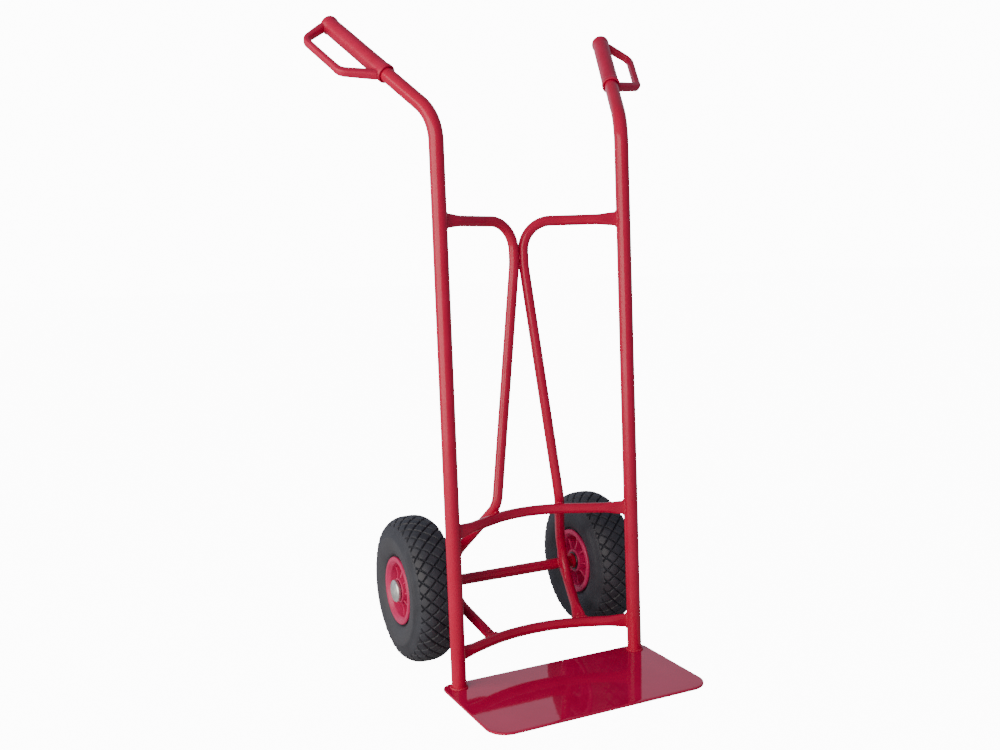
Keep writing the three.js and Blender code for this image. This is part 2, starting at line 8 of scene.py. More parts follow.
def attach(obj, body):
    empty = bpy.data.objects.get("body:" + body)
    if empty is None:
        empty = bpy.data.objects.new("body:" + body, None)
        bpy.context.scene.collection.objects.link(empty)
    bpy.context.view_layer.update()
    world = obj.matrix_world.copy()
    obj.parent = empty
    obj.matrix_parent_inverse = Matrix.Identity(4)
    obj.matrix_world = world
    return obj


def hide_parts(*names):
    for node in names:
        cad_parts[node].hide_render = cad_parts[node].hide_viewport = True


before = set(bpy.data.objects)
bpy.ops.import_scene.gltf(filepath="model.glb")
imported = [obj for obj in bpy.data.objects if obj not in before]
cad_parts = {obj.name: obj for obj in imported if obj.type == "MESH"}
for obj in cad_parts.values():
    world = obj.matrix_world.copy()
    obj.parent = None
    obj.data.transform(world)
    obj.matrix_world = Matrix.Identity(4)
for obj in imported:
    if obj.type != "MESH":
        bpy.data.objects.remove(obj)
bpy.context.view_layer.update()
mm = 0.001
wheelAt = np.array([179.5, 170, 130])  # the left wheel's middle, in millimetres
print("packed model loaded,", len(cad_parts), "nodes")


def linear(hexColour):
    # an sRGB hex value as the linear colour that a shader takes
    part = np.array([int(hexColour[i:i + 2], 16) for i in (1, 3, 5)]) / 255
    part = np.where(part <= 0.04045, part / 12.92, ((part + 0.055) / 1.055) ** 2.4)
    return (*part.tolist(), 1.0)


def addNode(tree, kind, values=None, links=None, **settings):
    # one node with its settings, its socket values and the sockets that feed it
    node = tree.nodes.new(kind)
    for key, value in settings.items():
        setattr(node, key, value)
    for key, value in (values or {}).items():
        node.inputs[key].default_value = value
    for key, socket in (links or {}).items():
        tree.links.new(socket, node.inputs[key])
    return node


def newMaterial(name, **shaderValues):
    # a material with one Principled shader, its fixed values set on the shader itself
    material = bpy.data.materials.new(name)
    material.use_nodes = True
    tree = material.node_tree
    shader = tree.nodes["Principled BSDF"]
    for key, value in shaderValues.items():
        shader.inputs[key.replace("_", " ")].default_value = value
    return material, tree, shader


def unit(v):
    # vectors made one long
    return v / np.linalg.norm(v, axis=-1, keepdims=True)


def smoothStep(x, low, high):
    # 0 up to low, 1 from high on, and 3 t^2 - 2 t^3 in between
    t = np.clip((x - low) / (high - low), 0, 1)
    return t * t * (3 - 2 * t)


def fullTurn(steps):
    # even angles round a full turn, the first of them 0
    return np.linspace(0, 2 * math.pi, steps, endpoint=False)


def reachAlong(path):
    # the distance from the start of the path to each of its points
    return np.concatenate([[0], np.cumsum(np.linalg.norm(np.diff(path, axis=0), axis=1))])


def bentRun(corners, radii, spacing):
    # straight runs joined by arcs of the given radii, as points at even steps along the whole
    corners = np.array(corners, float)
    runs = [corners[:1]]
    for before, corner, after, radius in zip(corners[:-2], corners[1:-1], corners[2:], radii):
        into, out = unit(corner - before), unit(after - corner)
        turn = math.acos(float(np.clip(into @ out, -1, 1)))
        side = unit(out - into * (out @ into))
        start = corner - into * radius * math.tan(turn / 2)
        angle = np.linspace(0, turn, 2 + int(math.degrees(turn) / 2))[:, None]
        runs.append(start + radius * (np.sin(angle) * into + (1 - np.cos(angle)) * side))
    runs.append(corners[-1:])
    line = np.concatenate(runs)
    reach = reachAlong(line)
    steps = np.linspace(0, reach[-1], int(reach[-1] / spacing) + 2)
    return np.stack([np.interp(steps, reach, line[:, k]) for k in range(3)], axis=1)


def squareTo(path, reference, closed):
    # two directions square to the path at each point, the first of them nearest to reference
    if closed:
        travel = unit(np.roll(path, -1, axis=0) - np.roll(path, 1, axis=0))
    else:
        travel = unit(np.gradient(path, axis=0))
    reference = np.broadcast_to(np.array(reference, float), path.shape)
    side = unit(reference - travel * (travel * reference).sum(1)[:, None])
    return side, np.cross(travel, side)


def carried(path, reference, thin, wide, sides, blunt=2.0, closed=False):
    # a closed outline carried along a path:
    # point = path + side thin |cos|^(2/blunt) + up wide |sin|^(2/blunt)
    side, up = squareTo(path, reference, closed)
    thin, wide, blunt = (np.broadcast_to(np.asarray(size, float), (len(path),))[:, None]
                         for size in (thin, wide, blunt))
    c, s = (np.sign(wave) * np.abs(wave) ** (2 / blunt)
            for wave in (np.cos(fullTurn(sides)), np.sin(fullTurn(sides))))
    return (path[:, None] + side[:, None] * (thin * c)[..., None]
            + up[:, None] * (wide * s)[..., None])


def lathed(profile, sides):
    # profile points (along X, radius) turned about X: point = (along, radius cos a, radius sin a)
    along, radius = np.array(profile, float).T[:, :, None]
    angle = fullTurn(sides)
    point = np.broadcast_arrays(along, radius * np.cos(angle), radius * np.sin(angle))
    return np.stack(point, axis=2)


def smoothLine(points, steps):
    # a Catmull-Rom line through the points, steps points for each span
    p = np.array(points, float)
    p = np.concatenate([[2 * p[0] - p[1]], p, [2 * p[-1] - p[-2]]])
    t = np.linspace(0, 1, steps, endpoint=False)[None, :, None]
    a, b, c, d = (p[k:len(p) - 3 + k, None] for k in range(4))
    square, cube = 2 * a - 5 * b + 4 * c - d, 3 * b - a - 3 * c + d
    line = 0.5 * (2 * b + (c - a) * t + square * t ** 2 + cube * t ** 3)
    return np.concatenate([line.reshape(-1, p.shape[1]), p[-2:-1]])


def otherSide(grid):
    # mirrored to the right
    return grid * np.array([-1.0, 1.0, 1.0])


def gridFaces(rows, cols, closedRows, closedCols):
    # quads of a grid of rows by cols points
    i = np.arange(rows if closedRows else rows - 1)[:, None]
    j = np.arange(cols if closedCols else cols - 1)[None, :]
    i2, j2 = (i + 1) % rows, (j + 1) % cols
    corners = [i * cols + j, i * cols + j2, i2 * cols + j2, i2 * cols + j]
    return np.stack(corners, axis=2).reshape(-1, 4)


def signedVolume(points, faces):
    # six times the volume inside the faces, which is negative where they point inwards
    corner = points[faces]
    total = 0.0
    for k in range(1, faces.shape[1] - 1):
        total += np.einsum("ij,ij->", corner[:, 0], np.cross(corner[:, k], corner[:, k + 1]))
    return total


def closedShell(grid, ring):
    # points and faces of a closed skin: quads all over the grid, and where it isn't a ring,
    # a fan over each end
    rows, cols = grid.shape[:2]
    points = grid.reshape(-1, 3)
    parts = [gridFaces(rows, cols, ring, True)]
    if not ring:
        points = np.concatenate([points, grid[:1].mean(1), grid[-1:].mean(1)])
        here = np.arange(cols)
        after = (here + 1) % cols
        last = (rows - 1) * cols
        first, second = np.full(cols, rows * cols), np.full(cols, rows * cols + 1)
        parts.append(np.stack([after, here, first], 1))
        parts.append(np.stack([last + here, last + after, second], 1))
    if sum(signedVolume(points, part) for part in parts) < 0:
        parts = [part[:, ::-1] for part in parts]
    return points, parts


def meshOf(name, shells):
    # one mesh from closed skins in millimetres
    points, faces, count = [], [], 0
    for grid, ring in shells:
        these, parts = closedShell(grid, ring)
        points.append(these)
        for part in parts:
            faces += (part + count).tolist()
        count += len(these)
    mesh = bpy.data.meshes.new(name)
    mesh.from_pydata((np.concatenate(points) * mm).tolist(), [], faces)
    return mesh


def inScene(name, data):
    # a new object at the origin, linked into the scene
    newObject = bpy.data.objects.new(name, data)
    bpy.context.scene.collection.objects.link(newObject)
    return newObject


def placed(name, mesh, material, body, nodes=(), sharpAngle=38):
    # a finished piece that rides on a body and stands for the nodes it is drawn over
    mesh.name = name
    mesh.materials.clear()
    mesh.materials.append(material)
    mesh.shade_smooth()
    mesh.set_sharp_from_angle(angle=math.radians(sharpAngle))
    piece = inScene(name, mesh)
    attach(piece, body)
    if nodes:
        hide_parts(*nodes)


def withModifiers(mesh, settings):
    # the mesh that a list of (kind, {setting: value}) modifiers makes of it
    helper = inScene("helper", mesh)
    for kind, values in settings:
        modifier = helper.modifiers.new(kind, kind)
        for key, value in values.items():
            setattr(modifier, key, value)
    bpy.context.view_layer.update()
    finished = helper.evaluated_get(bpy.context.evaluated_depsgraph_get())
    result = bpy.data.meshes.new_from_object(finished)
    bpy.data.objects.remove(helper)
    return result


def mirroredMesh(mesh):
    # the same piece on the other side of the truck
    copy = mesh.copy()
    copy.transform(Matrix.Scale(-1, 4, (1, 0, 0)))
    copy.flip_normals()
    return copy


def bothSides(name, shells, material, body, node=None, sharpAngle=38):
    # left and right pieces from one set of skins; {side} in the body's name becomes the side
    mirrored = [(otherSide(grid), ring) for grid, ring in shells]
    for side, skins in (("left", shells), ("right", mirrored)):
        nodes = [f"{side}_{node}"] if node else []
        placed(f"{side}_{name}", meshOf(name, skins), material, body.format(side=side),
               nodes, sharpAngle)


# In each finish, "cloud" is the noise that goes from one colour to the other, and over the range
# of roughness where there is one, and "grain" is the noise that raises the surface. Their numbers
# are the size in millimetres, the detail, the break-up and, for the grain, its height, also in
# millimetres. "span" is the part of the cloud that goes from colour to colour, where it isn't all.
paint = {"shader": {"IOR": 1.42}, "cloud": (60, 3, 0.5), "span": (0.3, 0.7)}
finishes = {
    # gloss powder coat on steel: deep red, a clear wet sheen, a slight orange peel, no metal glint
    "redPowderCoat": paint | {"colours": ("#c1103c", "#ca1745"), "roughness": 0.18,
                              "grain": (2.2, 1, 0.5, 0.03)},
    # the same on the flat sheet, where it runs out smoother
    "levelPowderCoat": paint | {"colours": ("#bf1046", "#c8174e"), "roughness": 0.045,
                                "grain": (9, 1, 0.5, 0.012)},
    # injection-moulded PVC: softer sheen than the paint, faint flow marks, and a spark-eroded
    # grain, which is drawn coarser than the real 0.2 mm so that it shows
    "mouldedPvc": {"shader": {"IOR": 1.42}, "colours": ("#c11240", "#cc1a4b"), "roughness": 0.36,
                   "cloud": (25, 3, 0.5), "span": (0.3, 0.7), "grain": (0.9, 2, 0.5, 0.06)},
    # injection-moulded polypropylene: a waxy half gloss, cooler and pinker than the paint
    "mouldedPolypropylene": {"shader": {"IOR": 1.49}, "colours": ("#c31f5a", "#d12e69"),
                             "roughness": 0.36, "cloud": (30, 3, 0.5), "span": (0.3, 0.7),
                             "grain": (3.5, 2, 0.5, 0.05)},
    # vulcanised carbon-black rubber: charcoal and dull
    "vulcanisedRubber": {"shader": {"IOR": 1.5}, "colours": ("#2b2e36", "#3a3e47"),
                         "roughness": (0.5, 0.68), "cloud": (35, 5, 0.6), "span": (0.35, 0.7),
                         "grain": (1.6, 3, 0.6, 0.12)},
    # butyl inner tube: smooth and black
    "butylRubber": {"shader": {"IOR": 1.5}, "colours": ("#16171a", "#202226"), "roughness": 0.5,
                    "cloud": (20, 2, 0.5)},
    # zinc plate on pressed steel: silver with a faint green-blue cast, clouded here and there
    "brightZincPlate": {"shader": {"Metallic": 1}, "colours": ("#dde2de", "#f2f5f2"),
                        "roughness": (0.34, 0.48), "cloud": (9, 4, 0.6), "span": (0.3, 0.7),
                        "grain": (1.2, 2, 0.5, 0.02)},
    # the same zinc darkened, as painted shade on the inner washers where the hub's shadow falls
    "shadedZincPlate": {"shader": {"Metallic": 1}, "colours": ("#5d605f", "#747877"),
                        "roughness": (0.34, 0.48), "cloud": (9, 4, 0.6), "span": (0.3, 0.7),
                        "grain": (1.2, 2, 0.5, 0.02)},
    # drawn steel: grey metal, faintly uneven from the die
    "drawnSteel": {"shader": {"Metallic": 1}, "colours": ("#8b8e91", "#a9acaf"),
                   "roughness": (0.28, 0.42), "cloud": (2, 2, 0.5)},
    # turned brass, dulled by handling
    "turnedBrass": {"shader": {"Metallic": 1}, "colours": ("#a88443", "#c7a763"),
                    "roughness": (0.26, 0.4), "cloud": (4, 3, 0.5)},
    # natural nylon bearing cage: creamy and slightly waxy
    "naturalNylon": {"shader": {"IOR": 1.53}, "colours": ("#d9d3c1", "#e8e4d6"), "roughness": 0.45,
                     "cloud": (8, 2, 0.5)},
}
roughnessSpan = (0.3, 0.7)  # the part of the cloud that goes over the range of roughness
# painted light: a lighter grey on the tyres' outer sidewalls, where they catch the light
paintedSidewallLight = {"colour": "#56585d", "starts": 0.209, "full": 0.217,
         "ridge": (0.094, 0.098), "share": (0.33, 0.04)}


def makeFinish(name):
    # the material that a row of finishes describes
    look = finishes[name]
    material, tree, shader = newMaterial(name, **look["shader"])
    place = addNode(tree, "ShaderNodeTexCoord").outputs["Object"]
    noises = {}
    for key in ("cloud", "grain"):
        if key in look:
            size, detail, breakUp = look[key][:3]
            noises[key] = addNode(tree, "ShaderNodeTexNoise",
                                  {"Scale": 1000 / size, "Detail": detail, "Roughness": breakUp},
                                  {"Vector": place}).outputs["Fac"]
    share = noises["cloud"]
    if "span" in look:
        share = addNode(tree, "ShaderNodeMapRange",
                        {"From Min": look["span"][0], "From Max": look["span"][1]},
                        {"Value": share}).outputs["Result"]
    first, second = (linear(colour) for colour in look["colours"])
    colour = addNode(tree, "ShaderNodeMix", {6: first, 7: second}, {0: share}, data_type="RGBA")
    tree.links.new(colour.outputs[2], shader.inputs["Base Color"])
    if isinstance(look["roughness"], tuple):
        rough = addNode(tree, "ShaderNodeMapRange",
                        {"From Min": roughnessSpan[0], "From Max": roughnessSpan[1],
                         "To Min": look["roughness"][0], "To Max": look["roughness"][1]},
                        {"Value": noises["cloud"]})
        tree.links.new(rough.outputs["Result"], shader.inputs["Roughness"])
    else:
        shader.inputs["Roughness"].default_value = look["roughness"]
    if "grain" in look:
        bump = addNode(tree, "ShaderNodeBump", {"Strength": 1, "Distance": look["grain"][3] * mm},
                       {"Height": noises["grain"]})
        tree.links.new(bump.outputs["Normal"], shader.inputs["Normal"])
    return material


def addPaintedSidewallLight(material):
    # Painted light: a lighter grey laid on the outer sidewall, where it catches the light. It shows
    # where a point is more than "starts" metres from the truck's middle plane, and it fades past
    # the ridge, which is a distance from the axle.
    tree = material.node_tree
    base = tree.nodes["Principled BSDF"].inputs["Base Color"]
    place = addNode(tree, "ShaderNodeTexCoord").outputs["Object"]
    across = addNode(tree, "ShaderNodeSeparateXYZ", {}, {"Vector": place}).outputs["X"]
    outward = addNode(tree, "ShaderNodeMath", {}, {0: across}, operation="ABSOLUTE").outputs[0]
    outer = addNode(tree, "ShaderNodeMapRange",
                    {"From Min": paintedSidewallLight["starts"], "From Max": paintedSidewallLight["full"]},
                    {"Value": outward}).outputs["Result"]
    flat = addNode(tree, "ShaderNodeVectorMath", {1: (0, 1, 1)}, {0: place},
                   operation="MULTIPLY").outputs[0]
    axle = (0, *(wheelAt[1:] * mm).tolist())
    radius = addNode(tree, "ShaderNodeVectorMath", {1: axle}, {0: flat},
                     operation="DISTANCE").outputs["Value"]
    inner = addNode(tree, "ShaderNodeMapRange",
                    {"From Min": paintedSidewallLight["ridge"][0], "From Max": paintedSidewallLight["ridge"][1],
                     "To Min": paintedSidewallLight["share"][0], "To Max": paintedSidewallLight["share"][1]},
                    {"Value": radius}).outputs["Result"]
    share = addNode(tree, "ShaderNodeMath", {}, {0: outer, 1: inner},
                    operation="MULTIPLY").outputs[0]
    clean = base.links[0].from_socket
    litGrey = addNode(tree, "ShaderNodeMix", {7: linear(paintedSidewallLight["colour"])}, {0: share, 6: clean},
                     data_type="RGBA")
    tree.links.new(litGrey.outputs[2], base)


redPaint, platePaint = makeFinish("redPowderCoat"), makeFinish("levelPowderCoat")
gripPlastic, rimPlastic = makeFinish("mouldedPvc"), makeFinish("mouldedPolypropylene")
tyreRubber, tubeRubber = makeFinish("vulcanisedRubber"), makeFinish("butylRubber")
# the tyres' outer sidewalls get a painted highlight of lighter grey
addPaintedSidewallLight(tyreRubber)
zinc, shadedZinc = makeFinish("brightZincPlate"), makeFinish("shadedZincPlate")
steel, brass, nylon = (makeFinish(name) for name in ("drawnSteel", "turnedBrass", "naturalNylon"))
for node, material in (("inner_tube", tubeRubber), ("hub_sleeve", steel),
                       ("outer_roller_bearing", nylon), ("inner_roller_bearing", nylon)):
    for side in ("left", "right"):
        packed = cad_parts[f"{side}_{node}"]
        packed.data.materials.clear()
        packed.data.materials.append(material)
print("materials made")


tubes = {"radius": 12.5, "apart": 173, "lean": 1, "foot": 4.1, "bendHeight": 942,
         "bendRadius": 80, "tilt": 53.7, "splay": 23.6, "handle": 300, "spacing": 5, "sides": 56}


def leanBack(height, behind=0.0):
    # how far back a point of the leaning frame stands, at a height and a distance behind the tubes
    return height * math.tan(math.radians(tubes["lean"])) + behind


def handleWay():
    # unit vectors: along the handle, level across it, and down under it
    tilt, splay = math.radians(tubes["tilt"]), math.radians(tubes["splay"])
    back = math.sin(tilt)
    along = np.array([back * math.sin(splay), back * math.cos(splay), math.cos(tilt)])
    level = np.array([math.cos(splay), -math.sin(splay), 0])
    under = np.cross(along, level)
    return along, level, under * (-1 if under[2] > 0 else 1)


bendAt = np.array([tubes["apart"], leanBack(tubes["bendHeight"]), tubes["bendHeight"]])
sideCorners = [(tubes["apart"], leanBack(tubes["foot"]), tubes["foot"]), bendAt,
               bendAt + handleWay()[0] * tubes["handle"]]
sidePath = bentRun(sideCorners, [tubes["bendRadius"]], tubes["spacing"])
sideSkin = carried(sidePath, (1, 0, 0), tubes["radius"], tubes["radius"], tubes["sides"])
bothSides("upright", [(sideSkin, False)], redPaint, "frame", "side_tube")


rails = {"radius": 9, "endTall": 12, "endThin": 3.6, "pressed": 40, "buried": 2.6,
         "squared": 1.4, "gap": 0.3, "spacing": 3, "sides": 40}
upperBar = {"height": 266, "angle": 28.4, "bendRadius": 153, "behind": 3}
lowerBar = {"height": 57, "angle": 23.5, "bendRadius": 261, "behind": 8}


def landing(height, behind):
    # the spot on the left tube's skin where a bar ends, and the way the skin faces there
    skin = tubes["radius"] + rails["gap"]
    turn = math.asin(behind / skin)
    facing = np.array([-math.cos(turn), math.sin(turn), 0])
    middle = np.array([tubes["apart"], leanBack(height), height])
    return middle + facing * skin, facing


def pressedSizes(path, wideEnds, thinEnds):
    # half height, half thickness and bluntness along a tube whose ends are pressed flat
    reach, radius = reachAlong(path), rails["radius"]
    first = 1 - smoothStep(reach, rails["buried"], rails["pressed"])
    last = 1 - smoothStep(reach[-1] - reach, rails["buried"], rails["pressed"])
    wide, thin = (radius + first * (ends[0] - radius) + last * (ends[1] - radius)
                  for ends in (wideEnds, thinEnds))
    return wide, thin, 2 + rails["squared"] * np.maximum(first, last)


def pushedOut(corners, first, last):
    # the same corners with the two ends moved outwards along their own runs
    corners = np.array(corners, float)
    corners[0] += unit(corners[0] - corners[1]) * first
    corners[-1] += unit(corners[-1] - corners[-2]) * last
    return corners


def barCorners(bar):
    # the two ends on the uprights, and the peak where the bowed bar's straight runs would meet
    end = landing(bar["height"], bar["behind"])[0]
    peak = end[1] + end[0] * math.tan(math.radians(bar["angle"]))
    return [end, (0, peak, bar["height"]), end * np.array([-1, 1, 1])]


def makeBar(name, bar):
    # a bowed bar across the truck, with its ends pressed flat and sunk into their welds
    corners = pushedOut(barCorners(bar), rails["buried"], rails["buried"])
    path = bentRun(corners, [bar["bendRadius"]], rails["spacing"])
    wide, thin, blunt = pressedSizes(path, [rails["endTall"]] * 2, [rails["endThin"]] * 2)
    grid = carried(path, (0, 1, 0), thin, wide, rails["sides"], blunt)
    placed(name, meshOf(name, [(grid, False)]), redPaint, "frame",
           [name.replace("Bar", "_crossbar")])
    return path


upperPath = makeBar("upperBar", upperBar)
lowerPath = makeBar("lowerBar", lowerBar)


# the last number of each of the five bends is its radius, and "footTurn" is the stretch from the
# foot over which the pressed faces turn from along the lower bar to square across the truck
braces = {"topHeight": 777, "behind": 3, "shoulder": (72, 49.3, 80), "neck": (9.2, 67, 50),
          "split": (703, 150), "knee": (61.8, 62.1, 285.4, 45),
          "heel": (132.6, 198.2, 133.5, 69), "footAt": 86.3, "footWide": 12, "footThin": 3.6,
          "footSunk": 1.2, "footTurn": (45, 110)}


def footSpot():
    # where the brace stands on the lower bar: the bar's centre and direction there,
    # the way its skin faces, and the brace's end point
    at = braces["footAt"]
    right = lowerPath[lowerPath[:, 0] > 0][::-1]
    middle = np.array([at, np.interp(at, right[:, 0], right[:, 1]), lowerBar["height"]])
    near = np.argmin(np.abs(right[:, 0] - at))
    run = unit(right[near + 1] - right[near - 1])
    slope = unit(np.array(braces["heel"][:3]) - middle)
    facing = unit(slope - run * (slope @ run))
    return middle, run, facing, middle + slope * (rails["radius"] + rails["gap"]) / (slope @ facing)


def braceCorners():
    # from the upright to the middle, down it, out behind the upper bar, back to the axle and
    # forward to the lower bar
    b, top = braces, braces["topHeight"]
    return [landing(top, b["behind"])[0],
            (b["shoulder"][0], leanBack(top, b["shoulder"][1]), top),
            (b["neck"][0], leanBack(top, b["neck"][1]), top),
            (b["neck"][0], leanBack(b["split"][0], b["neck"][1]), b["split"][0]),
            (b["knee"][0], leanBack(b["knee"][2], b["knee"][1]), b["knee"][2]),
            b["heel"][:3],
            footSpot()[3]]


braceRadii = [braces[bend][-1] for bend in ("shoulder", "neck", "split", "knee", "heel")]
bracePath = bentRun(pushedOut(braceCorners(), rails["buried"], braces["footSunk"]), braceRadii,
                    rails["spacing"])
wide, thin, blunt = pressedSizes(bracePath, [rails["endTall"], braces["footWide"]],
                                 [rails["endThin"], braces["footThin"]])
barNormal = unit(np.cross(footSpot()[1], (0, 0, 1)))
barNormal *= math.copysign(1, barNormal[1])
fromFoot = rails["spacing"] * np.arange(len(bracePath))[::-1]
squareOn = smoothStep(fromFoot, *braces["footTurn"])[:, None]
flatWay = barNormal + (np.array([0, 1.0, 0]) - barNormal) * squareOn
braceSkin = carried(bracePath, flatWay, thin, wide, rails["sides"], blunt)
bothSides("backBrace", [(braceSkin, False)], redPaint, "frame", "brace")
print("tubes, bars and braces made")


# Each "Bead" is the radius of a bead and each "Ring" the radius of the ring that it makes, except
# that a pair is how far the ring stands past a pressed end, along and about the tube it sits on.
welds = {"bead": 2.3, "ripple": 2.4, "rise": 0.1, "bluntRing": 0.7,
         "footBead": 2.1, "footOut": 0.5, "footHeight": 4.7,
         "barRing": (0.6, 1.0), "braceRing": (0.4, 1.6), "braceBead": 3.0,
         "axleRing": 7.6, "axleBead": 3.3, "touchRing": 5.0,
         "twinRing": 4.2, "twinBead": 2.0, "twinDrop": 12, "twinApart": 14,
         "lumpUp": 11, "lumpFront": 4.6, "lumpSize": (4.6, 2.6, 5.2)}


def rippled(path, bead):
    # bead radius along a closed path, swelling a little with each ripple of the weld
    step = np.linalg.norm(np.roll(path, -1, axis=0) - path, axis=1)
    reach = np.cumsum(step)
    count = max(6, round(reach[-1] / welds["ripple"]))
    return bead * (1 + welds["rise"] * np.cos(2 * math.pi * count * reach / reach[-1]))


def beadAlong(path, reference, bead, sides=10):
    # a round bead carried along a closed path
    size = rippled(path, bead)
    return carried(path, reference, size, size, sides, closed=True), True


def beadOn(middle, run, facing, radius, halfRun, halfRound, bead=welds["bead"]):
    # a ring of weld on the side of a round tube that faces outwards: halfRun along the tube and
    # halfRound about it, with sin and cos to the power bluntRing
    angle = fullTurn(120)
    ease = welds["bluntRing"]
    along = halfRun * np.sign(np.sin(angle)) * np.abs(np.sin(angle)) ** ease
    about = halfRound * np.sign(np.cos(angle)) * np.abs(np.cos(angle)) ** ease / radius
    across = np.cross(run, facing)
    path = (middle + along[:, None] * run
            + radius * (np.cos(about)[:, None] * facing + np.sin(about)[:, None] * across))
    return beadAlong(path, facing, bead)


def beadBetween(spot, way, half, bead=welds["bead"]):
    # a small ring of weld around the spot where two tubes touch; way points from one to the other
    angle = fullTurn(64)[:, None]
    first = unit(np.cross(way, (0.3, 0.2, 1.0)))
    path = spot + half * (np.cos(angle) * first + np.sin(angle) * np.cross(way, first))
    return beadAlong(path, way, bead)


def lump(spot, size):
    # a drop of weld: a ball stretched to size
    angle = np.linspace(0.08, math.pi - 0.08, 14)
    ball = lathed(np.column_stack([-np.cos(angle), np.sin(angle)]), 24)
    return ball * np.array(size) + spot, False


def footBead():
    # the fillet round an upright's foot on the plate
    angle = fullTurn(160)
    radius = tubes["radius"] + welds["footOut"]
    path = np.stack([tubes["apart"] + radius * np.cos(angle), radius * np.sin(angle),
                     np.full(len(angle), welds["footHeight"])], 1)
    return beadAlong(path, (0, 0, 1), welds["footBead"], 12)


def tubeBead(height, behind):
    # the ring where a pressed end meets an upright
    facing = landing(height, behind)[1]
    middle = np.array([tubes["apart"], leanBack(height), height])
    return beadOn(middle, np.array([0, 0, 1.0]), facing, tubes["radius"],
                  rails["endTall"] + welds["barRing"][0], rails["endThin"] + welds["barRing"][1])


def nearestTo(line, other):
    # the point of a line that comes nearest to another line, and the way from it to that one
    gaps = np.linalg.norm(line[:, None] - other[None], axis=2)
    here, there = np.unravel_index(np.argmin(gaps), gaps.shape)
    return line[here], unit(other[there] - line[here])


axleSize = {"radius": 10, "past": 41.5, "eased": 0.9}
touch = bracePath[np.argmin(np.linalg.norm(bracePath[:, 1:] - wheelAt[1:], axis=1))]
toAxle = unit(np.array([0, *(wheelAt[1:] - touch[1:])]))
atBar, toBar = nearestTo(bracePath, upperPath)
middle, run, facing, footEnd = footSpot()
footSlope = unit(np.array(braces["heel"][:3]) - middle)
frontWelds = [footBead(),
              tubeBead(upperBar["height"], upperBar["behind"]),
              tubeBead(lowerBar["height"], lowerBar["behind"]),
              tubeBead(braces["topHeight"], braces["behind"]),
              beadOn(middle, run, facing, rails["radius"],
                     braces["footWide"] + welds["braceRing"][0],
                     braces["footThin"] + welds["braceRing"][1], welds["braceBead"]),
              beadBetween(touch + toAxle * rails["radius"], toAxle,
                          welds["axleRing"], welds["axleBead"]),
              beadBetween(atBar + toBar * rails["radius"], toBar, welds["touchRing"]),
              lump(footEnd + footSlope * welds["lumpUp"] - barNormal * welds["lumpFront"],
                   welds["lumpSize"])]
bothSides("welds", frontWelds, redPaint, "frame")
pairTop = braces["topHeight"] - braces["neck"][2] - welds["twinDrop"]
twinWelds = [beadBetween(np.array([0, leanBack(z, braces["neck"][1]), z]), np.array([1.0, 0, 0]),
                         welds["twinRing"], welds["twinBead"])
             for z in (pairTop, pairTop - welds["twinApart"])]
placed("braceWelds", meshOf("braceWelds", twinWelds), redPaint, "frame")


toePlate = {"width": 398, "front": 195, "back": 20, "thick": 4, "frontCorner": 35,
            "backCorner": 18, "edge": 1.1, "flatRing": 4}


def plateOutline(inset):
    # four rounded corners, each an arc, moved in by inset
    half, t = toePlate["width"] / 2, toePlate
    spots = [(half, -t["front"], t["frontCorner"], -90), (half, t["back"], t["backCorner"], 0),
             (-half, t["back"], t["backCorner"], 90), (-half, -t["front"], t["frontCorner"], 180)]
    x, y, corner, start = np.array(spots, float).T[:, :, None]
    angle = np.radians(start + np.linspace(0, 90, 22)[None, :])
    px = x - np.sign(x) * corner + (corner - inset) * np.cos(angle)
    py = y - np.sign(y) * corner + (corner - inset) * np.sin(angle)
    return np.stack([px.ravel(), py.ravel()], 1)


def plateSkin():
    # the outline carried round the plate's edge: bottom, rounded edge, top
    edge, thick, flat = toePlate["edge"], toePlate["thick"], toePlate["edge"] + toePlate["flatRing"]
    turn = np.radians(np.linspace(0, 90, 6))
    lower = [(edge * (1 - math.sin(a)), edge * (1 - math.cos(a))) for a in turn]
    upper = [(inset, thick - height) for inset, height in lower[::-1]]
    rings = [(plateOutline(inset), height)
             for inset, height in [(flat, 0), *lower, *upper, (flat, thick)]]
    return np.stack([np.column_stack([ring, np.full(len(ring), height)]) for ring, height in rings])


placed("toePlate", meshOf("toePlate", [(plateSkin(), False)]), platePaint, "frame",
       ["toe_plate"], 60)
print("welds and toe plate made")


grips = {"radius": 15.4, "bore": 13, "boreDepth": 173, "from": 132, "length": 182,
         "flare": 16.6, "grain": 0.95, "smoothing": 7}
guards = {"reach": 62, "thick": 11, "wide": 14, "rootThick": 13.5, "rootWide": 15.5, "drop": 25,
          "root": 8, "near": 45, "far": 153, "tip": 171, "corner": 18, "lowThick": 14.8,
          "lowSpan": (37, 67), "sunk": 0.9, "fade": 4, "squared": 3.4}


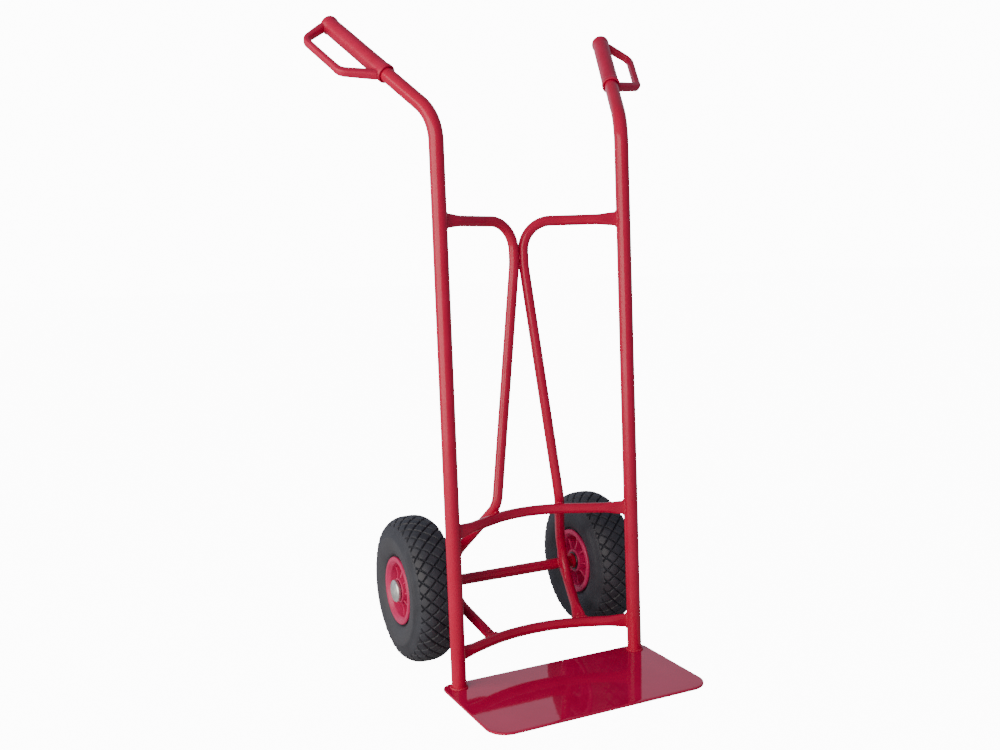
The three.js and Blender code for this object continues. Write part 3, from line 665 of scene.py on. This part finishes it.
def gripSkins():
    # a thick sleeve with a collar and a domed tip, and the flat bar of its knuckle guard, which
    # thickens towards the sleeve, in the grip's own axes
    g, u, full, flare = grips, guards, grips["radius"], grips["flare"]
    outside = [(0.2, flare - 1.2), (0.6, flare), (8.6, flare), (9.4, flare - 0.2),
               (11.5, full + 0.1), (16, full), (80, full - 0.25), (148, full - 0.1),
               (160, full - 0.4), (165, full), (168, flare), (174.4, flare - 0.2),
               (177.2, flare - 1.8), (179.8, 11.6), (181.4, 6.6), (g["length"], 0.4)]
    inside = [(g["boreDepth"], 0.4), (g["boreDepth"], g["bore"]), (90, g["bore"]), (0.2, g["bore"])]
    sleeve = lathed(outside + inside, 72)
    sunk = g["bore"] + u["sunk"]
    corners = [(u["root"], sunk, 0), (u["near"], u["reach"], 0), (u["far"], u["reach"], 0),
               (u["tip"], sunk, 0)]
    path = bentRun(corners, [u["corner"]] * 2, 1.5)
    root = 1 - smoothStep(path[:, 1], g["bore"] + u["fade"], u["reach"] - u["fade"])
    lower = 1 - smoothStep(path[:, 0], *u["lowSpan"])
    thick = u["thick"] + np.maximum((u["rootThick"] - u["thick"]) * root,
                                    (u["lowThick"] - u["thick"]) * lower)
    wide = u["wide"] + (u["rootWide"] - u["wide"]) * root
    bar = carried(path, (0.3, 1, 0), thick / 2, wide / 2, 40, u["squared"])
    return [(sleeve, True), (bar, False)]


def gripMesh(name):
    # both skins grown into one moulding by a fine remesh, with the join rounded over
    mesh = withModifiers(meshOf(name, gripSkins()), [
        ("REMESH", {"mode": "VOXEL", "voxel_size": grips["grain"] * mm, "use_smooth_shade": True}),
        ("SMOOTH", {"factor": 0.5, "iterations": grips["smoothing"]})])
    drop = math.radians(guards["drop"])
    along, level, under = handleWay()
    out = level * math.cos(drop) + under * math.sin(drop)
    start = (bendAt + along * grips["from"]) * mm
    axes = np.column_stack([along, out, np.cross(along, out)])
    mesh.transform(Matrix([(*axes[k], start[k]) for k in range(3)] + [(0, 0, 0, 1)]))
    return mesh


leftGrip = gripMesh("left_grip")
rightGrip = mirroredMesh(leftGrip)
placed("left_handGrip", leftGrip, gripPlastic, "frame", ["left_grip"], 180)
placed("right_handGrip", rightGrip, gripPlastic, "frame", ["right_grip"], 180)
print("grips made")


def atWheel(shells):
    # skins made about the origin, moved to the left wheel
    return [(grid + wheelAt, ring) for grid, ring in shells]


def ringSkin(start, end, outer, inner, edge=0.4):
    # a flat ring with its outer corners eased
    loop = [(start, inner), (start, outer - edge), (start + edge, outer),
            (end - edge, outer), (end, outer - edge), (end, inner)]
    return lathed(loop, 64), True


axleEnd, eased = wheelAt[0] + axleSize["past"], axleSize["eased"]
halfAxle = [(axleEnd - eased, axleSize["radius"]), (axleEnd, axleSize["radius"] - eased)]
axleLine = [(-along, radius) for along, radius in halfAxle[::-1]] + halfAxle
axleSkin = lathed(axleLine, 64) + wheelAt * np.array([0, 1, 1])
placed("axleBar", meshOf("axleBar", [(axleSkin, False)]), redPaint, "frame", ["axle"])


hub = {"half": 34, "washer": 17, "washerThick": 1.6, "collar": 14.5, "collarWide": 6,
       "collarEased": 0.7, "hole": 10.3, "gap": 0.3}
innerFace = -hub["half"] - hub["gap"] - hub["washerThick"]
outerFace = hub["half"] + hub["gap"]
collarEnd = innerFace - hub["gap"]
collar = ringSkin(collarEnd - hub["collarWide"], collarEnd, hub["collar"], hub["hole"],
                  hub["collarEased"])
innerWasher = ringSkin(innerFace, innerFace + hub["washerThick"], hub["washer"], hub["hole"])
outerWasher = ringSkin(outerFace, outerFace + hub["washerThick"], hub["washer"], hub["hole"])
bothSides("axleCollar", atWheel([collar]), redPaint, "frame", "axle_collar")
# the inner washers take the darkened zinc as painted shade
bothSides("innerWasher", atWheel([innerWasher]), shadedZinc, "frame", "inner_washer")
bothSides("outerWasher", atWheel([outerWasher]), zinc, "frame", "outer_washer")


cap = {"radius": 19.8, "from": 36.2, "rim": 39, "rollTall": 3.7, "rollIn": 3.6, "dome": 46.3,
       "mouth": 11, "skirtEased": 0.6}


def capSkin():
    # a pressed cap: a short skirt, a rolled edge, which is a quarter of an oval, and a low dome
    # whose height falls as the square of the distance from its middle
    c = cap
    turn = np.radians(np.linspace(4, 90, 12))
    inner, fall = c["radius"] - c["rollIn"], c["dome"] - c["rim"] - c["rollTall"]
    rolled = np.column_stack([c["rim"] + c["rollTall"] * np.sin(turn),
                              inner + c["rollIn"] * np.cos(turn)])
    face = np.linspace(inner - 0.5, 0.6, 12)
    dome = np.column_stack([c["dome"] - fall * (face / inner) ** 2, face])
    skirt = np.array([(c["from"], c["mouth"]), (c["from"], c["radius"] - c["skirtEased"]),
                      (c["from"] + 0.5, c["radius"])])
    return lathed(np.concatenate([skirt, rolled, dome]), 72), False


bothSides("axleCap", atWheel([capSkin()]), zinc, "frame", "axle_cap", 50)
print("axle and its small parts made")


rim = {"ribs": 8, "ribHalf": 1.8, "ribSag": 2.2, "ribSquared": 5, "root": 20.5, "tip": 47,
       "floor": 4, "top": 31, "tipTop": 26, "boltCircle": 33, "valveAcross": 12.5,
       "valveHole": 4.6, "drilled": (38, 56), "spacing": 0.9}
# the outer half's section, round by bore, boss, web, dish, rolled lip and barrel, with each
# corner's distance across, its distance from the axle and the radius of its bend
rimCorners = [(0.15, 30, 0), (0.15, 16.8, 0.4), (34, 16.8, 0.6), (34, 22, 1.4), (5, 24, 3),
              (5, 42.5, 3), (22, 45.5, 8), (31.4, 47.6, 4), (37.5, 53.2, 3), (37.5, 60.6, 3.2),
              (31.8, 60.6, 2.2), (30.4, 50, 1), (20, 50, 4), (10, 46.4, 4), (0.15, 46.4, 0.4),
              (0.15, 30.2, 0)]


def turnedBy(grid, angle):
    # the grid turned about the wheel's axis
    c, s = math.cos(angle), math.sin(angle)
    return grid @ np.array([[1, 0, 0], [0, c, s], [0, -s, c]])


def rimSection():
    # the corners joined by straight runs and arcs
    corners = [(across, radius, 0) for across, radius, bend in rimCorners]
    bends = [bend for across, radius, bend in rimCorners[1:-1]]
    return bentRun(corners, bends, rim["spacing"])[:, :2]


def ribSkin(angle):
    # a blade from the boss to the barrel whose top edge is rounded and falls towards the lip,
    # along a straight line less ribSag sin(pi share)
    radius = np.linspace(rim["root"], rim["tip"], 24)
    share = (radius - rim["root"]) / (rim["tip"] - rim["root"])
    top = (rim["top"] + (rim["tipTop"] - rim["top"]) * share
           - rim["ribSag"] * np.sin(math.pi * share))
    path = np.column_stack([(top + rim["floor"]) / 2, radius, np.zeros(24)])
    straight = np.column_stack([np.zeros(24), radius, np.zeros(24)])
    blade = carried(straight, (0, 0, 1), rim["ribHalf"], (top - rim["floor"]) / 2, 28,
                    rim["ribSquared"])
    return turnedBy(blade + (path - straight)[:, None], angle), False


def pointedOut(grid, across, angle):
    # a part turned about X, stood up along the wheel's radius at an angle
    upright = grid @ np.array([[0, 1, 0], [-1, 0, 0], [0, 0, 1]])
    return turnedBy(upright + np.array([across, 0, 0]), angle)


valveAngle = 3 * math.pi / rim["ribs"]


def rimMesh(name, valveHole):
    # the turned section with its ribs joined on, and the valve's hole cut through
    ribs = [ribSkin(angle) for angle in fullTurn(rim["ribs"])]
    steps = [("UNION", inScene("ribs", meshOf("ribs", ribs)))]
    if valveHole:
        drill = lathed([(depth, rim["valveHole"]) for depth in rim["drilled"]], 32)
        drill = pointedOut(drill, rim["valveAcross"], valveAngle)
        steps.append(("DIFFERENCE", inScene("drill", meshOf("drill", [(drill, False)]))))
    mesh = withModifiers(meshOf(name, [(lathed(rimSection(), 96), True)]), [
        ("BOOLEAN", {"operation": operation, "solver": "EXACT", "object": helper})
        for operation, helper in steps])
    for operation, helper in steps:
        bpy.data.objects.remove(helper)
    return mesh


outerRim = rimMesh("outerRim", True)
innerRim = mirroredMesh(rimMesh("innerRim", False))
for half, mesh in (("outer", outerRim), ("inner", innerRim)):
    mesh.transform(Matrix.Translation(Vector((wheelAt * mm).tolist())))
    for side, turned in (("left", mesh), ("right", mirroredMesh(mesh))):
        placed(f"{side}_{half}Rim", turned, rimPlastic, f"{side}_wheel",
               [f"{side}_{half}_rim_half"], 35)


bolts = {"shank": 3, "head": 5.6, "headTall": 3.6, "nutTall": 4.6, "pastNut": 1.5, "web": 5.3,
         "chamfer": 0.7, "headTop": 0.8, "nutTop": 0.82, "point": (2.4, 0.6), "inHead": 0.2,
         "gap": 0.3, "sides": 36}


def roundRing(across, radius):
    # points round a circle, at one distance across
    angle = fullTurn(bolts["sides"])
    across = np.full(len(angle), across)
    return np.stack([across, radius * np.cos(angle), radius * np.sin(angle)], 1)


def hexRing(across, radius):
    # points round a hexagon whose corners are at radius
    flat = np.cos(np.mod(fullTurn(bolts["sides"]), math.pi / 3) - math.pi / 6)
    return roundRing(across, radius * math.cos(math.pi / 6) / flat)


def boltSkins(angle):
    # a hexagon head outside the web and a shank that comes out past the nut
    b = bolts
    end, top = -b["web"] - b["nutTall"] - b["pastNut"], b["web"] + b["headTall"]
    head = np.stack([hexRing(b["web"], b["head"]), hexRing(top - b["chamfer"], b["head"]),
                     roundRing(top, b["head"] * b["headTop"])])
    shank = np.stack([roundRing(end, b["point"][0]), roundRing(end + b["point"][1], b["shank"]),
                      roundRing(b["web"] + b["inHead"], b["shank"])])
    at = np.array([0, rim["boltCircle"], 0])
    return [(turnedBy(head + at, angle), False), (turnedBy(shank + at, angle), False)]


def nutSkins(angle):
    # a hexagon nut under the web, with its hole through it
    b = bolts
    low, high, hole = -b["web"] - b["nutTall"], -b["web"], b["shank"] + b["gap"]
    loop = np.stack([roundRing(low, hole), roundRing(low, b["head"] * b["nutTop"]),
                     hexRing(low + b["chamfer"], b["head"]), hexRing(high, b["head"]),
                     roundRing(high, hole)])
    return [(turnedBy(loop + np.array([0, rim["boltCircle"], 0]), angle), True)]


for k in range(4):
    angle = math.pi / rim["ribs"] + k * math.pi / 2
    for part, skins in (("Bolt", boltSkins(angle)), ("Nut", nutSkins(angle))):
        bothSides(f"rim{part}{k + 1}", atWheel(skins), zinc, "{side}_wheel",
                  f"rim_{part.lower()}_{k + 1}", 30)


valve = {"thread": (34.4, 39), "threadRadius": 2.55, "threadDepth": 0.16, "pitch": 0.8,
         "start": (34, 1.8), "stem": [(39.4, 3.0), (40, 3.7), (41, 3.8), (54, 3.8)]}


def valveSkin():
    # a stem with a threaded tip, whose radius is a cosine along its length
    along = np.linspace(*valve["thread"], 28)
    wave = valve["threadDepth"] * np.cos(2 * math.pi * along / valve["pitch"])
    tip = np.column_stack([along, valve["threadRadius"] + wave])
    line = np.concatenate([[valve["start"]], tip, valve["stem"]])
    return pointedOut(lathed(line, 32), rim["valveAcross"], valveAngle), False


bothSides("valveStem", atWheel([valveSkin()]), brass, "{side}_wheel", "valve_stem")
print("rims made")


tyre = {"crown": 129.97, "drop": 6, "dropAt": 27, "treadTo": 36, "around": 34, "row": 13,
        "groove": 1.65, "depth": 3.2, "edge": 40.3, "scallop": 1.0, "step": 1.25,
        "stepEnd": (53, 60), "grooveWall": (0.3, 1.15), "edgeWall": (0.7, 1.3),
        "columns": 680, "fineTo": 48.4, "fineStep": 1.1}
# points of the wall from the tread to the bead, and of the hollow inside it, each as its
# distance across and its distance from the axle
tyreWall = [(38.3, 111.6), (40.2, 105), (41, 100.8), (42.2, 97.4), (42.9, 92.5), (43.1, 87),
            (42, 79.5), (38.8, 71.3), (34.8, 64.6), (31, 62.3)]
tyreHollow = [(29.6, 50.8), (21, 50.8), (24, 62), (34, 78), (36, 95), (28, 114), (14, 121.2)]


def tyreLine():
    # The outside of the tyre from bead to bead. The tread's line falls as the cube of the
    # distance across, and the sidewall bulges out below it. The points are closer together on
    # the tread.
    tread = [(across, tyre["crown"] - tyre["drop"] * (across / tyre["dropAt"]) ** 3)
             for across in np.linspace(0, tyre["treadTo"], 25)]
    half = smoothLine(tread + tyreWall, 12)
    line = np.concatenate([half[:0:-1] * np.array([-1, 1]), half])
    reach = reachAlong(line)
    reach -= reach[-1] / 2
    fine = np.arange(-tyre["fineTo"], tyre["fineTo"] + 0.01, tyre["fineStep"])
    side = np.linspace(fine[-1], reach[-1], 20)[1:]
    s = np.concatenate([-side[::-1], fine, side])
    return s, np.column_stack([np.interp(s, reach, line[:, 0]), np.interp(s, reach, line[:, 1])])


def treadHeight(s, angle):
    # How far the rubber stands below the tread's top. Two families of slanting grooves make the
    # diamond blocks: t + s / pitch and t - s / pitch are whole numbers along them, a quarter block
    # off the middle. The row of lugs ends in a scalloped step.
    t = (angle + math.pi / 2) * tyre["around"] / (2 * math.pi)
    pitch = 2 * tyre["row"]
    first, second = t + s / pitch + 0.25, t - s / pitch - 0.25
    slope = math.hypot(tyre["around"] / (2 * math.pi * tyre["crown"]), 1 / pitch)
    away = np.minimum(np.abs(first - np.round(first)), np.abs(second - np.round(second))) / slope
    near, far = tyre["grooveWall"]
    groove = 1 - smoothStep(away, tyre["groove"] * near, tyre["groove"] * far)
    lug = np.where(s > 0, t - 0.5, t)
    edge = tyre["edge"] + tyre["scallop"] * np.cos(2 * math.pi * lug)
    near, far = tyre["edgeWall"]
    inside = 1 - smoothStep(np.abs(s), edge - near, edge + far)
    band = 1 - smoothStep(np.abs(s), *tyre["stepEnd"])
    return groove * inside * tyre["depth"] + (1 - inside) * band * tyre["step"]


def tyreSkin():
    # the tyre's line turned about the axle, each point moved in by the tread's height, square to
    # the line, and closed by the hollow
    s, line = tyreLine()
    travel = unit(np.gradient(line, axis=0))
    outward = np.column_stack([-travel[:, 1], travel[:, 0]])
    angle = fullTurn(tyre["columns"])
    low = treadHeight(s[:, None], angle[None, :])
    across, radius = np.moveaxis(line[:, None] - outward[:, None] * low[..., None], 2, 0)
    outer = np.stack([across, radius * np.cos(angle), radius * np.sin(angle)], 2)
    hollow = tyreHollow + [(-across, radius) for across, radius in tyreHollow[::-1]]
    return np.concatenate([outer, lathed(hollow, tyre["columns"])]), True


bothSides("treadedTyre", atWheel([tyreSkin()]), tyreRubber, "{side}_wheel",
          "tyre", 40)
print("tyres made")


view = {"place": (-0.8176, -1.5513, 0.7111), "yaw": 25.42, "down": 6.271, "roll": -1.718,
        "lens": 37.59, "sensor": 36, "nearest": 0.01}
stage = {"floor": "#d8d8d8", "floorHalf": 30, "floorAt": -0.0004, "floorGlow": 12,
         "sky": "#e6ecff", "front": 0.33, "behind": 0.85, "above": 0.25, "backdrop": 12.6,
         "toBehind": (0.3, 0.85), "toAbove": (0.4, 0.75)}
windowLight = {"place": (-2.5, -0.8, 1.05), "target": (0, 0, 0.55), "size": (3.8, 2.3),
               "power": 102, "colour": "#fff2e4"}


def addCamera():
    yaw, down, roll = (math.radians(view[key]) for key in ("yaw", "down", "roll"))
    ahead = np.array([math.sin(yaw) * math.cos(down), math.cos(yaw) * math.cos(down),
                      -math.sin(down)])
    right = np.array([math.cos(yaw), -math.sin(yaw), 0])
    up = np.cross(right, ahead)
    rolledRight = math.cos(roll) * right + math.sin(roll) * up
    rolledUp = -math.sin(roll) * right + math.cos(roll) * up
    data = bpy.data.cameras.new("camera")
    data.lens, data.sensor_width, data.clip_start = view["lens"], view["sensor"], view["nearest"]
    camera = inScene("camera", data)
    rows = np.column_stack([rolledRight, rolledUp, -ahead, view["place"]])
    camera.matrix_world = Matrix([*rows.tolist(), (0, 0, 0, 1)])
    bpy.context.scene.camera = camera


def addFloor():
    # a wide pale floor, lit to near white where it is seen directly
    half, height = stage["floorHalf"], stage["floorAt"]
    corners = [(x * half, y * half, height) for x, y in ((-1, -1), (1, -1), (1, 1), (-1, 1))]
    mesh = bpy.data.meshes.new("studioFloor")
    mesh.from_pydata(corners, [], [(0, 1, 2, 3)])
    floor = inScene("studioFloor", mesh)
    material, tree, shader = newMaterial("paleFloor", Roughness=0.9, Specular_IOR_Level=0.1)
    shader.inputs["Base Color"].default_value = linear(stage["floor"])
    shader.inputs["Emission Color"].default_value = linear("#ffffff")
    seen = addNode(tree, "ShaderNodeLightPath").outputs["Is Camera Ray"]
    glow = addNode(tree, "ShaderNodeMapRange", {"To Max": stage["floorGlow"]}, {"Value": seen})
    tree.links.new(glow.outputs["Result"], shader.inputs["Emission Strength"])
    mesh.materials.append(material)


def addLight(name, place, target, size, power, colour):
    data = bpy.data.lights.new(name, "AREA")
    data.shape, data.size, data.size_y = "RECTANGLE", size[0], size[1]
    data.energy, data.color = power, linear(colour)[:3]
    light = inScene(name, data)
    light.location = place
    light.rotation_euler = (Vector(target) - Vector(place)).to_track_quat("-Z", "Y").to_euler()


def addWorld():
    # White to the eye. It lights the truck softly: pale from behind, dim from the front and
    # dimmer from above.
    world = bpy.data.worlds.new("studio")
    world.use_nodes = True
    tree = world.node_tree
    way = addNode(tree, "ShaderNodeTexCoord").outputs["Generated"]
    parts = addNode(tree, "ShaderNodeSeparateXYZ", {}, {"Vector": way}).outputs
    wall = addNode(tree, "ShaderNodeMapRange",
                   {"From Min": stage["toAbove"][0], "From Max": stage["toAbove"][1],
                    "To Min": stage["behind"], "To Max": stage["above"]}, {"Value": parts["Z"]})
    back = addNode(tree, "ShaderNodeMapRange",
                   {"From Min": stage["toBehind"][0], "From Max": stage["toBehind"][1]},
                   {"Value": parts["Y"]})
    room = addNode(tree, "ShaderNodeMix", {2: stage["front"]},
                   {0: back.outputs["Result"], 3: wall.outputs["Result"]}).outputs[0]
    seen = addNode(tree, "ShaderNodeLightPath").outputs["Is Camera Ray"]
    colour = addNode(tree, "ShaderNodeMix", {6: linear(stage["sky"]), 7: linear("#ffffff")},
                     {0: seen}, data_type="RGBA").outputs[2]
    strength = addNode(tree, "ShaderNodeMix", {3: stage["backdrop"]},
                       {0: seen, 2: room}).outputs[0]
    background = tree.nodes["Background"]
    tree.links.new(colour, background.inputs["Color"])
    tree.links.new(strength, background.inputs["Strength"])
    bpy.context.scene.world = world


addCamera()
addFloor()
addWorld()
addLight("windowLight", **windowLight)
print("camera, floor and light made")
